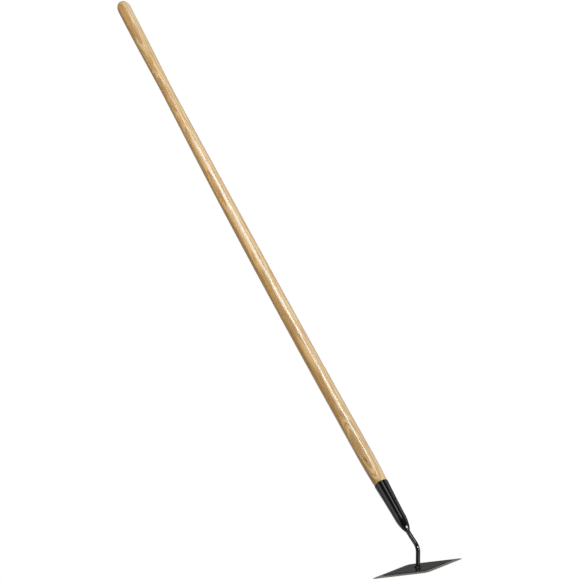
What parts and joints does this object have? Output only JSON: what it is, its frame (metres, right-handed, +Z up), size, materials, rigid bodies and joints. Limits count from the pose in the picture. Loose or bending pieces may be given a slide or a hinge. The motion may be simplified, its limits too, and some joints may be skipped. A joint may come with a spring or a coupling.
{
  "type": "diamond hoe",
  "caption": "Long-handled push-pull hoe: a thin diamond blade ground along every edge, on a bent round steel neck with a tapered ferrule and a turned wooden handle.",
  "frame": {"origin": "centre of the blade's flat underside", "axes": "+Z up from the blade, X from tip to tip of the blade, +Y the way the handle leans back"},
  "size_m": [0.2176, 1.1244, 1.0028],
  "materials": {
    "varnished_ash": "pale ash with long straight grain, clear gloss varnish",
    "black_enamel": "gloss black stoved enamel on steel",
    "blade_enamel": "gloss charcoal-black enamel on flat steel, ground bare along the edges"
  },
  "bodies": {
    "root": {"handle": "varnished_ash", "ferrule": "black_enamel", "neck": "black_enamel", "ferrule_weld": "black_enamel", "ferrule_rivet": "black_enamel", "blade_weld": "black_enamel", "blade": "blade_enamel"}
  },
  "joints": []
}
